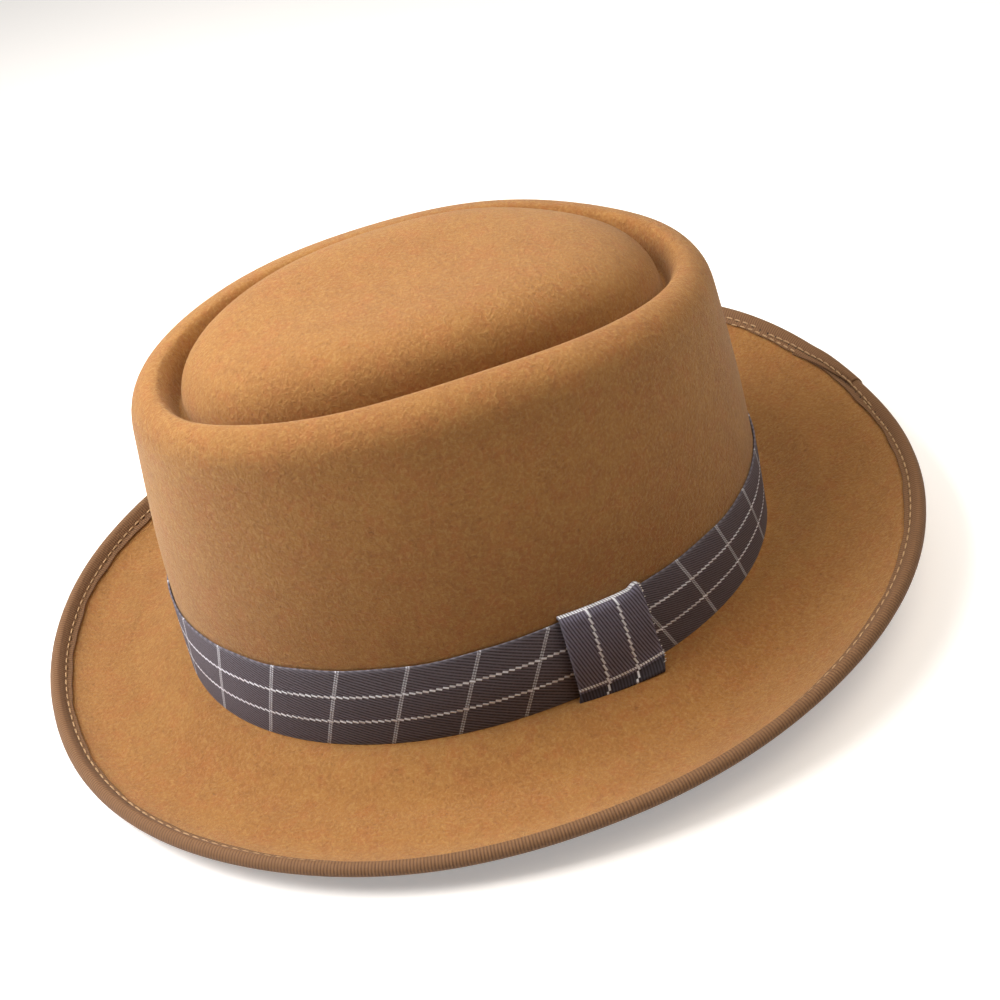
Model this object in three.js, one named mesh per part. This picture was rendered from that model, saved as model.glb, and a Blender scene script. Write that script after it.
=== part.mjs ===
// Porkpie hat: a pressed wool-felt cap with a telescope crease and a curled brim,
// a woven hatband with a keeper, and a tape bound over the brim's edge.
// Millimetres. +X is the wearer's left, -Y the front, +Z up. The brim rests on z = 0,
// and the hat is centred over its own length and width.

import * as THREE from 'three';
import { mergeVertices } from 'three/addons/utils/BufferGeometryUtils.js';

// Crown sizes, outside the felt
const crownLength = 209;
const crownWidth = 165;
const crownTopLength = 195.4;
const crownTopWidth = 131;
const crownHeight = 106.2;
const frontRise = 3.3;
const sideRise = 3.5;
const endBulge = 1.2;
const sideBulge = 4;
const crownForward = 0.8;
const shoulderHeight = 12.2;
const endShoulder = 9.4;
const sideShoulder = 12.2;

// Crease and domed tip, measured from the top of the rim
const creaseWidth = 8.1;
const creaseDepth = 9.6;
const tipRise = 12.8;

// Brim sizes, to the edge of the felt
const brimLength = 306;
const brimWidth = 275;
const brimBackFlare = 0.04;
const breakHeight = 9;
const breakRadius = 1.8;
const curlHeight = 17.2;
const feltThickness = 2.5;

// Hatband and its keeper
const bandWidth = 29;
const bandThickness = 1;
const bandLift = 1.5;
const keeperLength = 31;
const keeperThickness = 1;
const keeperLip = 0.85;
// The keeper's middle, in degrees from the wearer's left towards the back
const keeperPlace = 9.5;

// Tape over the brim's edge, and its lapped end at the centre back
const tapeLap = 5.7;
const tapeThickness = 1;
const foldLength = 26;

// The gap left between two pieces that touch
const clearance = 0.3;

// Plan curves are ovals, a little squarer than an ellipse, whose power is 2
const crownOvalPower = 2.08;
const brimOvalPower = 2.1;

// Steps in the surfaces
const sectors = 60;
const capSteps = [22, 44, 62, 76, 90];
const shoulderSteps = [60, 30, 0];
const wallSteps = [0.67, 0.33, 0];
const breakSteps = [45, 90];
const brimSteps = [0.18, 0.34, 0.5, 0.66, 0.83, 1];
const lapSteps = [1 / 3, 2 / 3, 1];
const stripSteps = 8;

// The cap over the tip: how square its rim is, and how round its shoulder
const tipRimPower = 5.4;
const tipShoulderPower = 0.52;

// The crease's section, from the rim's top inwards: across and down as shares of
// creaseWidth and creaseDepth
const CREASE = [
  { across: 0.27, down: 0.11 },
  { across: 0.47, down: 0.4 },
  { across: 0.62, down: 0.77 },
  { across: 0.82, down: 1 },
  { across: 1, down: 0.82 },
];

// The brim's section by angle from the front, in degrees. low: its lowest line, as a
// share of the way from the resting level up to the break. curl: how far the edge stands
// above that line, as a share of curlHeight. turn: the edge's slope in degrees
const BRIM = [
  { at: 0, low: 0, curl: 0.336, turn: 46 },
  { at: 30, low: 0, curl: 0.407, turn: 47 },
  { at: 60, low: 0, curl: 0.503, turn: 55 },
  { at: 90, low: 0, curl: 0.69, turn: 60 },
  { at: 120, low: 0.2, curl: 1, turn: 52 },
  { at: 150, low: 1.5, curl: 0.663, turn: 34 },
  { at: 180, low: 1.9, curl: 0.442, turn: 22 },
];

// The brim has come down to its lowest line by this share of its width
const dipShare = 0.45;
// The curl takes at most this share of the brim's width
const curlShare = 0.95;
// Felt closer to the floor than this lies flat on it
const restTolerance = 0.25;
// The felt's cut edge is rounded outwards by this share of the thickness
const edgeRound = 0.25;

const rad = THREE.MathUtils.degToRad;
const deg = THREE.MathUtils.radToDeg;

// A number raised to a power with its sign kept
function signedPower(value, power) {
  return Math.sign(value) * Math.abs(value) ** power;
}

// A point of an oval with the given half axes across (X) and along (Y)
function ovalPoint(across, along, power, theta) {
  const x = across * signedPower(Math.cos(theta), 2 / power);
  const y = along * signedPower(Math.sin(theta), 2 / power);
  return new THREE.Vector2(x, y);
}

// A column of a table of equal steps, read at any angle from the front by a smooth
// curve that is mirrored at both ends
function readTable(rows, column, theta) {
  const fromFront = deg(Math.acos(THREE.MathUtils.clamp(-Math.sin(theta), -1, 1)));
  const step = rows[1].at - rows[0].at;
  const last = rows.length - 1;
  const k = Math.min(Math.floor(fromFront / step), last - 1);
  const u = fromFront / step - k;
  const value = (i) => rows[i < 0 ? -i : i > last ? 2 * last - i : i][column];
  const [a, b, c, d] = [value(k - 1), value(k), value(k + 1), value(k + 2)];
  const square = 2 * a - 5 * b + 4 * c - d;
  const cube = -a + 3 * b - 3 * c + d;
  return 0.5 * (2 * b + (c - a) * u + square * u * u + cube * u ** 3);
}

// The height of the rim's top round the crown: taller in front and at the sides
function rimHeight(theta) {
  const lean = -frontRise * Math.sin(theta) + sideRise * Math.cos(2 * theta);
  return breakHeight + crownHeight + lean;
}

// How far the shoulder reaches inwards at an angle round the crown
function shoulderReach(theta) {
  return endShoulder + (sideShoulder - endShoulder) * Math.cos(theta) ** 2;
}

// A point of the crown's oval, moved inwards and set at a height
function crownPoint(theta, halfAcross, halfAlong, inset, z) {
  const flat = ovalPoint(halfAcross - inset, halfAlong - inset, crownOvalPower, theta);
  return new THREE.Vector3(flat.x, flat.y - crownForward, z);
}

// The wall: share 0 is its foot just above the break, 1 the foot of the shoulder
function wallPoint(theta, share, outwards = 0) {
  const bulge = THREE.MathUtils.lerp(endBulge, sideBulge, Math.cos(theta) ** 2);
  const swell = bulge * 4 * share * (1 - share) + outwards;
  const halfAcross = THREE.MathUtils.lerp(crownWidth, crownTopWidth, share) / 2 + swell;
  const halfAlong = THREE.MathUtils.lerp(crownLength, crownTopLength, share) / 2 + swell;
  const foot = breakHeight + breakRadius;
  const z = THREE.MathUtils.lerp(foot, rimHeight(theta) - shoulderHeight, share);
  return crownPoint(theta, halfAcross, halfAlong, 0, z);
}

// The wall at a height above the break, moved outwards
function wallAtHeight(theta, height, outwards) {
  const rise = rimHeight(theta) - shoulderHeight - breakHeight - breakRadius;
  const share = Math.max((height - breakRadius) / rise, 0);
  const point = wallPoint(theta, share, outwards);
  point.z = breakHeight + height;
  return point;
}

// The shoulder: a quarter of an ellipse from the wall (turn 0) to the rim's top (90)
function shoulderPoint(theta, turn) {
  const inset = shoulderReach(theta) * (1 - Math.cos(rad(turn)));
  const z = rimHeight(theta) - shoulderHeight * (1 - Math.sin(rad(turn)));
  return crownPoint(theta, crownTopWidth / 2, crownTopLength / 2, inset, z);
}

// The crease, by how far inwards from the rim's top and how far down
function creasePoint(theta, row) {
  const inset = shoulderReach(theta) + row.across * creaseWidth;
  const z = rimHeight(theta) - row.down * creaseDepth;
  return crownPoint(theta, crownTopWidth / 2, crownTopLength / 2, inset, z);
}

// The domed tip inside the crease: turn 0 is its middle, 90 the crease's inner side
function tipPoint(theta, turn) {
  const share = Math.sin(rad(turn));
  const inset = shoulderReach(theta) + creaseWidth;
  const rim = crownPoint(theta, crownTopWidth / 2, crownTopLength / 2, inset, 0);
  const level = breakHeight + crownHeight;
  const start = -CREASE.at(-1).down * creaseDepth;
  const swell = (1 - share ** tipRimPower) ** tipShoulderPower;
  const z = level + (rimHeight(theta) - level) * share ** 2 + start + (tipRise - start) * swell;
  return new THREE.Vector3(rim.x * share, (rim.y + crownForward) * share - crownForward, z);
}

// What the brim's section needs at one angle: its two ends in plan, its width, its
// lowest level and its curl, an arc that meets the lowest line level
function brimSection(theta) {
  const inner = ovalPoint(crownWidth / 2, crownLength / 2, crownOvalPower, theta);
  inner.y -= crownForward;
  const outer = ovalPoint(brimWidth / 2, brimLength / 2, brimOvalPower, theta);
  outer.x *= 1 + brimBackFlare * signedPower(Math.sin(theta), 2 / brimOvalPower);
  const width = inner.distanceTo(outer);
  const low = feltThickness + (breakHeight - feltThickness) * readTable(BRIM, 'low', theta);
  const curl = curlHeight * readTable(BRIM, 'curl', theta);
  const flattest = 2 * Math.atan(curl / (curlShare * (width - breakRadius)));
  const turn = Math.max(rad(readTable(BRIM, 'turn', theta)), flattest);
  const radius = curl / (1 - Math.cos(turn));
  return { inner, outer, width, low, turn, radius };
}

// The brim's upper face at a distance outwards from the crown's wall
function brimPoint(section, distance) {
  const { inner, outer, width, low, turn, radius } = section;
  const share = (distance - breakRadius) / (dipShare * width);
  const dip = THREE.MathUtils.smoothstep(share, 0, 1);
  const intoCurl = Math.max(distance - (width - radius * Math.sin(turn)), 0);
  const lift = radius - Math.sqrt(Math.max(radius ** 2 - intoCurl ** 2, 0));
  const flat = inner.clone().lerp(outer, distance / width);
  return new THREE.Vector3(flat.x, flat.y, THREE.MathUtils.lerp(breakHeight, low, dip) + lift);
}

// How far the tape's lap reaches inwards in plan: its length lies along the curl's arc
function lapRun(section) {
  const inside = Math.max(section.turn - tapeLap / section.radius, 0);
  const onArc = section.radius * (section.turn - inside);
  return section.radius * (Math.sin(section.turn) - Math.sin(inside)) + (tapeLap - onArc);
}

// The upper face of the felt at one angle, from the middle of the tip to the brim's edge
function feltProfile(theta) {
  const section = brimSection(theta);
  const foot = new THREE.Vector3(section.inner.x, section.inner.y, 0);
  const outwards = section.outer.clone().sub(section.inner).divideScalar(section.width);
  const lap = lapRun(section);
  const breakPoint = (turn) => {
    const step = breakRadius * (1 - Math.cos(rad(turn)));
    const z = breakHeight + breakRadius * (1 - Math.sin(rad(turn)));
    return foot.clone().add(new THREE.Vector3(outwards.x * step, outwards.y * step, z));
  };
  const open = section.width - lap - breakRadius;
  return [
    ...capSteps.map((turn) => tipPoint(theta, turn)),
    ...CREASE.slice(0, -1).reverse().map((row) => creasePoint(theta, row)),
    shoulderPoint(theta, 90),
    ...shoulderSteps.map((turn) => shoulderPoint(theta, turn)),
    ...wallSteps.map((share) => wallPoint(theta, share)),
    ...breakSteps.map(breakPoint),
    ...brimSteps.map((share) => brimPoint(section, breakRadius + open * share)),
    ...lapSteps.map((share) => brimPoint(section, section.width - lap * (1 - share))),
  ];
}

// The angle round the hat of each sector
const around = Array.from({ length: sectors }, (_, j) => (2 * Math.PI * j) / sectors);

// The direction that is square to the upper face at a profile's point k, from the
// points before and after it and from the profiles on both sides
function normalAt(profile, before, after, k) {
  const inward = profile[Math.max(k - 1, 0)].clone().sub(profile[k]).normalize();
  const outward = profile[Math.min(k + 1, profile.length - 1)].clone().sub(profile[k]).normalize();
  const along = outward.sub(inward);
  const across = after[k].clone().sub(before[k]);
  return along.cross(across).normalize();
}

// A profile with its normals, worked out a small step either side of the angle
function profileWithNormals(theta) {
  const small = Math.PI / sectors;
  const points = feltProfile(theta);
  const before = feltProfile(theta - small);
  const after = feltProfile(theta + small);
  const normals = points.map((_, k) => normalAt(points, before, after, k));
  return { points, normals };
}

// One body from closed loops: each loop is joined to the next, and the ends are either
// joined to each other or filled with a flat lid
function skinLoops(loops, closed) {
  const count = loops[0].length;
  const triangles = [];
  const joins = closed ? loops.length : loops.length - 1;
  for (let i = 0; i < joins; i += 1) {
    const here = loops[i];
    const next = loops[(i + 1) % loops.length];
    for (let k = 0; k < count; k += 1) {
      const m = (k + 1) % count;
      triangles.push([here[k], next[k], next[m]], [here[k], next[m], here[m]]);
    }
  }
  if (!closed) {
    triangles.push(...lid(loops[0]), ...lid(loops.at(-1)).map(([a, b, c]) => [a, c, b]));
  }
  return solidFrom(triangles);
}

// The triangles that fill one loop, worked out in the loop's own plane
function lid(loop) {
  const normal = new THREE.Vector3();
  loop.forEach((point, k) => {
    normal.add(point.clone().cross(loop[(k + 1) % loop.length]));
  });
  normal.normalize();
  const up = new THREE.Vector3(0, 0, 1);
  const side = new THREE.Vector3().crossVectors(up, normal).normalize();
  const rise = new THREE.Vector3().crossVectors(normal, side);
  const flat = loop.map((point) => new THREE.Vector2(point.dot(side), point.dot(rise)));
  return THREE.ShapeUtils.triangulateShape(flat, []).map((face) => face.map((k) => loop[k]));
}

// A closed geometry from triangles, turned inside out if its volume comes out negative
function solidFrom(triangles) {
  const volume = triangles.reduce((sum, [a, b, c]) => sum + a.dot(b.clone().cross(c)), 0);
  const facing = volume < 0 ? triangles.map(([a, b, c]) => [a, c, b]) : triangles;
  const geometry = new THREE.BufferGeometry().setFromPoints(facing.flat());
  const merged = mergeVertices(geometry, 1e-4);
  merged.computeVertexNormals();
  return merged;
}

// The felt: its upper face, a rounded cut edge and its lower face one thickness below
function feltBody() {
  const columns = around.map((theta) => {
    const { points, normals } = profileWithNormals(theta);
    const under = points.map((point, k) => {
      const below = point.clone().addScaledVector(normals[k], -feltThickness);
      below.z = below.z < restTolerance ? 0 : below.z;
      return below;
    });
    const end = points.at(-1).clone().sub(points.at(-2)).setLength(edgeRound * feltThickness);
    const edge = points.at(-1).clone().lerp(under.at(-1), 0.5).add(end);
    return [...points, edge, ...under.reverse()];
  });
  const top = new THREE.Vector3(0, -crownForward, tipPoint(0, 0).z);
  const bottom = top.clone().setZ(top.z - feltThickness);
  const triangles = [];
  columns.forEach((here, j) => {
    const next = columns[(j + 1) % columns.length];
    const last = here.length - 1;
    triangles.push([top, here[0], next[0]], [bottom, next[last], here[last]]);
    for (let k = 0; k < last; k += 1) {
      triangles.push([here[k], here[k + 1], next[k + 1]], [here[k], next[k + 1], next[k]]);
    }
  });
  return solidFrom(triangles);
}

// A strip that stands on the wall: each section is a loop of (outwards, height) corners
function wallStrip(angles, corners, closed) {
  const section = (theta) => corners.map(([outwards, height]) => wallAtHeight(theta, height, outwards));
  return skinLoops(angles.map(section), closed);
}

// The band: one closed ring round the crown's foot
const bandInside = clearance;
const bandOutside = bandInside + bandThickness;
const bandMiddle = bandLift + bandWidth / 2;
const bandTop = bandLift + bandWidth;
const bandCorners = [
  [bandInside, bandLift],
  [bandOutside, bandLift],
  [bandOutside, bandMiddle],
  [bandOutside, bandTop],
  [bandInside, bandTop],
  [bandInside, bandMiddle],
];

// The keeper: a strip folded round the band, with a lip over its top and under its foot
const keeperInside = bandOutside + clearance;
const keeperOutside = keeperInside + keeperThickness;
const keeperTop = bandTop + clearance + keeperThickness;
const keeperFoot = bandLift - clearance - keeperLip;
const keeperCorners = [
  [clearance, keeperTop],
  [clearance, bandTop + clearance],
  [keeperInside, bandTop + clearance],
  [keeperInside, bandMiddle],
  [keeperInside, bandLift - clearance],
  [bandOutside - clearance, bandLift - clearance],
  [bandOutside - clearance, keeperFoot],
  [keeperOutside, keeperFoot],
  [keeperOutside, bandMiddle],
  [keeperOutside, keeperTop],
];

// Equal steps of angle over a length along the wall or the brim's edge
function stripAngles(middle, length, radius) {
  const turn = length / radius;
  return Array.from({ length: stripSteps + 1 }, (_, i) => middle + turn * (i / stripSteps - 0.5));
}

// One section of tape round the brim's edge, between two distances from the felt. reach
// is how much further inwards its lap goes than the tape's own
function tapeLoop(theta, nearFelt, farFromFelt, reach) {
  const { points, normals } = profileWithNormals(theta);
  const lapPoints = lapSteps.length + 1;
  const first = points.length - lapPoints;
  const end = points.at(-1).clone().sub(points.at(-2)).normalize();
  const inward = points[first - 1].clone().sub(points[first]).normalize();
  const side = (offset) => {
    const face = points.map((point, k) => point.clone().addScaledVector(normals[k], offset));
    face[first].addScaledVector(inward, reach);
    return face.slice(first);
  };
  const layer = (gap) => {
    const upper = side(gap);
    const lower = side(-feltThickness - gap);
    const over = edgeRound * feltThickness + gap;
    const crest = upper.at(-1).clone().lerp(lower.at(-1), 0.5).addScaledVector(end, over);
    return [...upper, crest, ...lower.reverse()];
  };
  return [...layer(farFromFelt), ...layer(nearFelt).reverse()];
}

// The binding: tape folded over the edge all the way round
const tapeOutside = clearance + tapeThickness;
function brimBinding() {
  return skinLoops(around.map((theta) => tapeLoop(theta, clearance, tapeOutside, 0)), true);
}

// The binding's folded end, lapped over its start from the centre back to the wearer's right
function bindingFold() {
  const inside = tapeOutside + clearance;
  const middle = Math.PI / 2 + foldLength / brimWidth;
  const angles = stripAngles(middle, foldLength, brimWidth / 2);
  const section = (theta) => tapeLoop(theta, inside, inside + tapeThickness, tapeThickness);
  return skinLoops(angles.map(section), false);
}

// Every piece is one mesh with its own material
function piece(name, geometry, color, roughness) {
  const material = new THREE.MeshStandardMaterial({ color, roughness, metalness: 0 });
  const mesh = new THREE.Mesh(geometry, material);
  mesh.name = name;
  return mesh;
}

const keeperAngles = stripAngles(rad(keeperPlace), keeperLength, crownLength / 2);

const hat = new THREE.Group();
hat.add(
  piece('felt_body', feltBody(), '#b8814e', 0.95),
  piece('hatband', wallStrip(around, bandCorners, true), '#5c5254', 0.9),
  piece('band_keeper', wallStrip(keeperAngles, keeperCorners, false), '#5c5254', 0.9),
  piece('brim_binding', brimBinding(), '#957350', 0.85),
  piece('binding_fold', bindingFold(), '#957350', 0.85),
);

// The hat stands centred over the origin with its lowest felt on z = 0
const box = new THREE.Box3().setFromObject(hat, true);
const middle = box.getCenter(new THREE.Vector3());
hat.position.set(-middle.x, -middle.y, -box.min.z);

export default hat;
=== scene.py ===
import math
import bpy
import numpy as np
from mathutils import Matrix, Vector


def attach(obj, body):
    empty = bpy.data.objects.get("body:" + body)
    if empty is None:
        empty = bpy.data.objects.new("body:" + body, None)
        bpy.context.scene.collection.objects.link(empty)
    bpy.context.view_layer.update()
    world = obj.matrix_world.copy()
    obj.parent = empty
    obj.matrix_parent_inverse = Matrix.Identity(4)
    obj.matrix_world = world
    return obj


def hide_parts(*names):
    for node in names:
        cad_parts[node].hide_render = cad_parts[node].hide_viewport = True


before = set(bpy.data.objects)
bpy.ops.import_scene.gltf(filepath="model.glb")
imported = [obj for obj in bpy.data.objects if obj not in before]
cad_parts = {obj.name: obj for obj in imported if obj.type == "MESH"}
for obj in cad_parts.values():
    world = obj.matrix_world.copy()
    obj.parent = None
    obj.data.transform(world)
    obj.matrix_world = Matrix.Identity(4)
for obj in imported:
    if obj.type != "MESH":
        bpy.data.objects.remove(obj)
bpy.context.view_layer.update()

# Everything below is in millimetres until a mesh is made. +X is the wearer's left,
# -Y the front, +Z up, and the hat rests on its brim at z = 0
MM = 0.001
CENTRE_Y = -0.436

# The crown and brim, as the solids have them
CROWN_LENGTH, CROWN_WIDTH = 209.0, 165.0
CROWN_TOP_LENGTH, CROWN_TOP_WIDTH = 195.4, 131.0
CROWN_HEIGHT, FRONT_RISE, SIDE_RISE = 106.2, 3.3, 3.5
END_BULGE, SIDE_BULGE = 1.2, 4.0
CROWN_FORWARD = 0.8
SHOULDER_HEIGHT, END_SHOULDER, SIDE_SHOULDER = 12.2, 9.4, 12.2
CREASE_WIDTH, CREASE_DEPTH, TIP_RISE = 8.1, 9.6, 12.8
BRIM_LENGTH, BRIM_WIDTH, BRIM_BACK_FLARE = 306.0, 275.0, 0.04
BREAK_HEIGHT, BREAK_RADIUS = 9.0, 1.8
CURL_HEIGHT, FELT = 17.2, 2.5
CROWN_POWER, BRIM_POWER = 2.08, 2.1
TIP_RIM_POWER, TIP_SHOULDER_POWER = 5.4, 0.52
DIP_SHARE, CURL_SHARE = 0.45, 0.95
CREASE_ACROSS = [0, 0.27, 0.47, 0.62, 0.82, 1]
CREASE_DOWN = [0, 0.11, 0.4, 0.77, 1, 0.82]
BRIM_STEP = 30
BRIM_LOW = [0, 0, 0, 0, 0.2, 1.5, 1.9]
BRIM_CURL = [0.336, 0.407, 0.503, 0.69, 1, 0.663, 0.442]
BRIM_TURN = [46, 47, 55, 60, 52, 34, 22]

# The trimmings
BAND_WIDTH, BAND_THICKNESS, BAND_LIFT = 30.1, 0.7, 0.5
KEEPER_PLACE, KEEPER_WIDTH, KEEPER_THICKNESS = 9.5, 29.6, 0.8
TAPE_LAP, TAPE_THICKNESS = 5.5, 0.6
STITCH_PITCH, STITCH_LENGTH, THREAD_RADIUS = 3.9, 3.2, 0.34
STITCH_SHARE = 0.64

# How finely the felt is drawn: the rows of each part of its section and the columns round
# it, and the rows before and after the shoulder that are rounded off, and how often
TIP_ROWS, CREASE_STEPS, SHOULDER_ROWS, WALL_ROWS, BEND_ROWS, BRIM_ROWS = 32, 6, 14, 26, 5, 42
FELT_COLUMNS = 320
SOFT_BEFORE, SOFT_AFTER, SOFT_PASSES = 4, 12, 6


def signed_power(value, power):
    """A number raised to a power with its sign kept."""
    return np.sign(value) * np.abs(value) ** power


def oval(across, along, power, theta):
    """x and y of an oval with the given half axes: cosine and sine, each to 2/power."""
    x = across * signed_power(np.cos(theta), 2 / power)
    y = along * signed_power(np.sin(theta), 2 / power)
    return x, y


def between(a, b, c, d, u):
    """The Catmull-Rom curve from b to c at share u, with a before them and d after them."""
    return 0.5 * (2 * b + (c - a) * u + (2 * a - 5 * b + 4 * c - d) * u**2
                  + (3 * b - a - 3 * c + d) * u**3)


def read_table(values, theta):
    """A table with a value each BRIM_STEP degrees from the front, read at any angle by a
    Catmull-Rom curve that is mirrored at both ends."""
    table = np.array(values, float)
    last = len(table) - 1
    place = np.degrees(np.arccos(np.clip(-np.sin(theta), -1, 1))) / BRIM_STEP
    k = np.minimum(np.floor(place).astype(int), last - 1)
    u = place - k
    mirrored = np.concatenate([table[1:2], table, table[-2:-1]])
    return between(*(mirrored[k + i] for i in range(4)), u)


def smooth_curve(points, steps):
    """A Catmull-Rom curve through the given 2-D points, the first and last of which only
    give the direction at the ends. Returns steps points for each span."""
    p = np.array(points, float)
    u = np.linspace(0, 1, steps, endpoint=False)[:, None]
    spans = [between(a, b, c, d, u) for a, b, c, d in zip(p, p[1:], p[2:], p[3:])]
    return np.concatenate(spans + [p[-2:-1]])


def wave(theta, terms):
    """A sum of sines round the hat: each term is (size, how many waves, phase)."""
    return sum(size * np.sin(count * theta + phase) for size, count, phase in terms)


def smoothstep(x, low=0.0, high=1.0):
    """0 below low, 1 above high, and 3t^2 - 2t^3 between."""
    t = np.clip((x - low) / (high - low), 0, 1)
    return t * t * (3 - 2 * t)


def rim_height(theta):
    """The rim's top: taller in front and at the sides, with a slow hand-pressed wave."""
    lean = -FRONT_RISE * np.sin(theta) + SIDE_RISE * np.cos(2 * theta)
    return BREAK_HEIGHT + CROWN_HEIGHT + lean + wave(theta, [(0.25, 5, 0.4), (0.18, 7, 2.0)])


def shoulder_reach(theta):
    """How far the shoulder reaches inwards."""
    return END_SHOULDER + (SIDE_SHOULDER - END_SHOULDER) * np.cos(theta) ** 2


def crown_point(theta, half_across, half_along, z):
    """A point of the crown's oval at a height."""
    x, y = oval(half_across, half_along, CROWN_POWER, theta)
    return np.stack(np.broadcast_arrays(x, y - CROWN_FORWARD + CENTRE_Y, z), -1)


def wall_point(theta, share, outwards=0.0):
    """The wall between its foot (share 0) and the shoulder's foot (share 1): the two ovals
    blended in a straight line, plus a bulge of 4 s (1 - s), plus faint dents."""
    bulge = END_BULGE + (SIDE_BULGE - END_BULGE) * np.cos(theta) ** 2
    dents = wave(theta, [(0.22, 4, 1.0), (0.16, 7, 0.3)]) * np.sin(3 * share + 0.6)
    swell = bulge * 4 * share * (1 - share) + dents * smoothstep(share, 0.2, 0.6) + outwards
    half_across = (CROWN_WIDTH + (CROWN_TOP_WIDTH - CROWN_WIDTH) * share) / 2 + swell
    half_along = (CROWN_LENGTH + (CROWN_TOP_LENGTH - CROWN_LENGTH) * share) / 2 + swell
    foot = BREAK_HEIGHT + BREAK_RADIUS
    z = foot + (rim_height(theta) - SHOULDER_HEIGHT - foot) * share
    return crown_point(theta, half_across, half_along, z)


def wall_at_height(theta, height, outwards):
    """The wall at a height above the break, moved outwards."""
    rise = rim_height(theta) - SHOULDER_HEIGHT - BREAK_HEIGHT - BREAK_RADIUS
    point = wall_point(theta, np.maximum((height - BREAK_RADIUS) / rise, 0), outwards)
    point[..., 2] = BREAK_HEIGHT + height
    return point


def tip_point(theta, turn):
    """The domed tip. Its share of the plan's radius is sin(turn), and its height over the
    crease is 1 - share^TIP_RIM_POWER, to the power of TIP_SHOULDER_POWER."""
    share = np.sin(turn)
    inset = shoulder_reach(theta) + CREASE_WIDTH
    x, y = oval(CROWN_TOP_WIDTH / 2 - inset, CROWN_TOP_LENGTH / 2 - inset, CROWN_POWER, theta)
    level = BREAK_HEIGHT + CROWN_HEIGHT
    start = -CREASE_DOWN[-1] * CREASE_DEPTH
    swell = np.maximum(1 - share**TIP_RIM_POWER, 0) ** TIP_SHOULDER_POWER
    z = level + (rim_height(theta) - level) * share**2 + start + (TIP_RISE - start) * swell
    return np.stack(np.broadcast_arrays(x * share, y * share - CROWN_FORWARD + CENTRE_Y, z), -1)


def brim_section(theta):
    """What the brim needs at each angle: its ends in plan, width, lowest level and curl."""
    inner = np.stack(oval(CROWN_WIDTH / 2, CROWN_LENGTH / 2, CROWN_POWER, theta), -1)
    inner[..., 1] += CENTRE_Y - CROWN_FORWARD
    x, y = oval(BRIM_WIDTH / 2, BRIM_LENGTH / 2, BRIM_POWER, theta)
    x = x * (1 + BRIM_BACK_FLARE * signed_power(np.sin(theta), 2 / BRIM_POWER))
    outer = np.stack([x, y + CENTRE_Y], -1)
    width = np.linalg.norm(outer - inner, axis=-1)
    low = FELT + (BREAK_HEIGHT - FELT) * read_table(BRIM_LOW, theta)
    curl = CURL_HEIGHT * read_table(BRIM_CURL, theta)
    flattest = 2 * np.arctan(curl / (CURL_SHARE * (width - BREAK_RADIUS)))
    turn = np.maximum(np.radians(read_table(BRIM_TURN, theta)), flattest)
    return inner, outer, width, low, turn, curl / (1 - np.cos(turn))


def brim_point(theta, distance):
    """The brim's upper face: from the break down to its lowest line by a smoothstep, then
    up on an arc that meets that line level."""
    inner, outer, width, low, turn, radius = brim_section(theta)
    dip = smoothstep((distance - BREAK_RADIUS) / (DIP_SHARE * width))
    into_curl = np.maximum(distance - (width - radius * np.sin(turn)), 0)
    lift = radius - np.sqrt(np.maximum(radius**2 - into_curl**2, 0))
    share = distance / width
    flat = inner + (outer - inner) * share[..., None]
    ripple = wave(theta, [(0.25, 6, 0.7), (0.2, 9, 2.2)]) * smoothstep(share, 0.75, 1)
    z = BREAK_HEIGHT + (low - BREAK_HEIGHT) * dip + lift + ripple
    return np.concatenate([flat, z[..., None]], -1)


def felt_profile(theta):
    """The felt's upper face, (rows, angles, 3): tip, crease, shoulder, wall, break, brim."""
    t = theta[None, :]
    tip = tip_point(t, np.radians(np.linspace(0, 90, TIP_ROWS))[:, None])[1:]
    table = list(zip(CREASE_ACROSS, CREASE_DOWN))[::-1]
    crease = smooth_curve([(1, 0.6)] + table + [(-0.27, 0.11)], CREASE_STEPS)[1:]
    inset = shoulder_reach(t) + crease[:, :1] * CREASE_WIDTH
    z = rim_height(t) - crease[:, 1:] * CREASE_DEPTH
    groove = crown_point(t, CROWN_TOP_WIDTH / 2 - inset, CROWN_TOP_LENGTH / 2 - inset, z)
    turn = np.radians(np.linspace(90, 0, SHOULDER_ROWS))[1:, None]
    inset = shoulder_reach(t) * (1 - np.cos(turn))
    z = rim_height(t) - SHOULDER_HEIGHT * (1 - np.sin(turn))
    shoulder = crown_point(t, CROWN_TOP_WIDTH / 2 - inset, CROWN_TOP_LENGTH / 2 - inset, z)
    wall = wall_point(t, np.linspace(1, 0, WALL_ROWS)[1:, None])
    inner, outer, width = brim_section(t)[:3]
    bend = np.radians(np.linspace(0, 90, BEND_ROWS))[1:, None]
    step = BREAK_RADIUS * (1 - np.cos(bend))
    foot = inner + (outer - inner) * (step / width)[..., None]
    level = np.broadcast_to(BREAK_HEIGHT + BREAK_RADIUS * (1 - np.sin(bend)), foot.shape[:2])
    brink = np.concatenate([foot, level[..., None]], -1)
    reach = BREAK_RADIUS + (width - BREAK_RADIUS) * np.linspace(0, 1, BRIM_ROWS)[1:, None]
    brim = brim_point(np.broadcast_to(t, reach.shape), reach)
    top = np.concatenate([tip, groove, shoulder, wall, brink, brim])
    first = len(tip) + len(groove) - SOFT_BEFORE
    return soften(top, first, first + len(shoulder) + SOFT_AFTER, SOFT_PASSES)


def soften(rows, first, last, passes):
    """Rounds the profile between two rows, by repeated averages of each row with the rows
    on both sides."""
    for _ in range(passes):
        before, after = rows[first - 1 : last - 1], rows[first + 1 : last + 1]
        middle = (before + 2 * rows[first:last] + after) / 4
        rows = np.concatenate([rows[:first], middle, rows[last:]])
    return rows


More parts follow.
